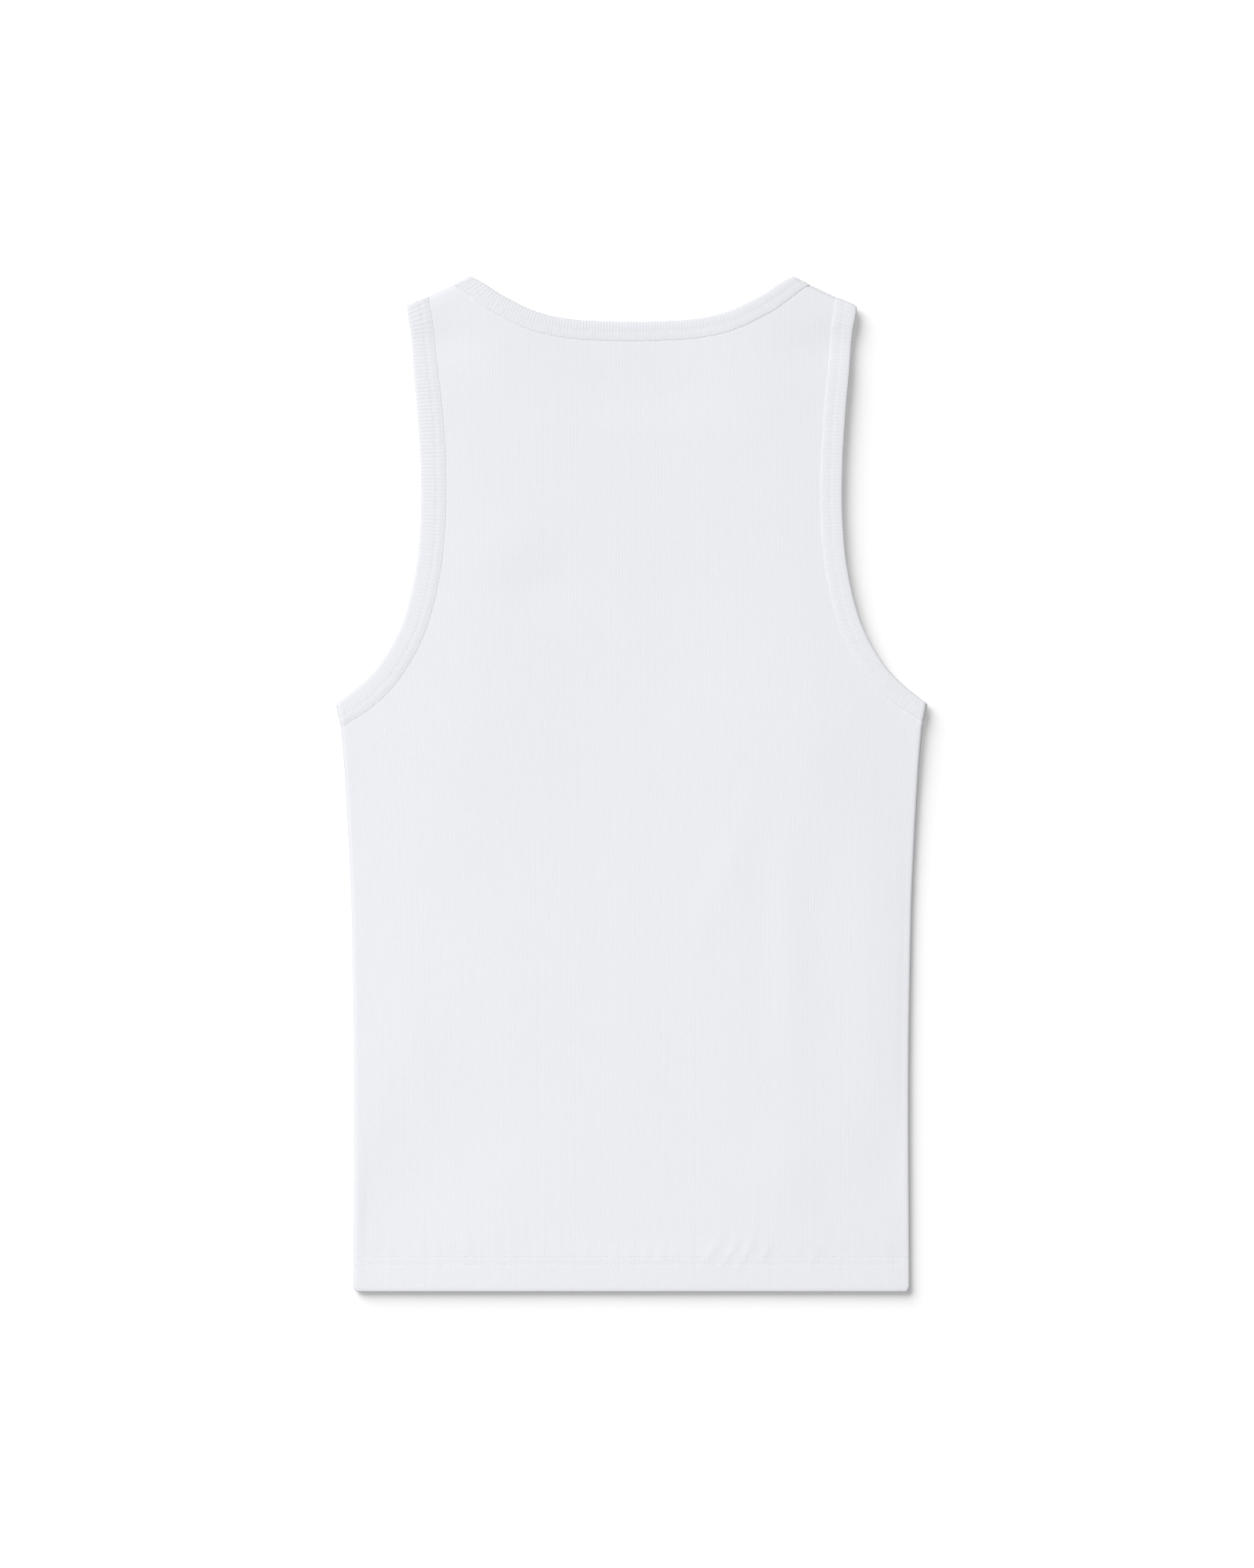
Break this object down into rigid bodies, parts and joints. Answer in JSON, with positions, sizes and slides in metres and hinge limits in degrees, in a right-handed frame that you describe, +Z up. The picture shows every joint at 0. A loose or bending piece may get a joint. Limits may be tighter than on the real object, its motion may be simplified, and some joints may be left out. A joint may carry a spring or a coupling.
{
  "type": "tank top",
  "caption": "Sleeveless ribbed knit tank top lying flat on its front, back up, with folded rib strips round the neck and armholes and a turned-up hem.",
  "frame": {"origin": "on the table, under the middle of the garment's bounding box", "axes": "+Y from the hem to the neck, +Z up from the table through the front and then the back, -X towards the wearer's left"},
  "size_m": [0.4084, 0.7, 0.008],
  "materials": {
    "body_rib": "matte white fine rib knit",
    "binding_rib": "matte white rib knit strip, folded"
  },
  "bodies": {
    "root": {"back_panel": "body_rib", "front_panel": "body_rib", "neck_binding": "binding_rib", "armhole_binding_left": "binding_rib", "armhole_binding_right": "binding_rib"}
  },
  "joints": []
}
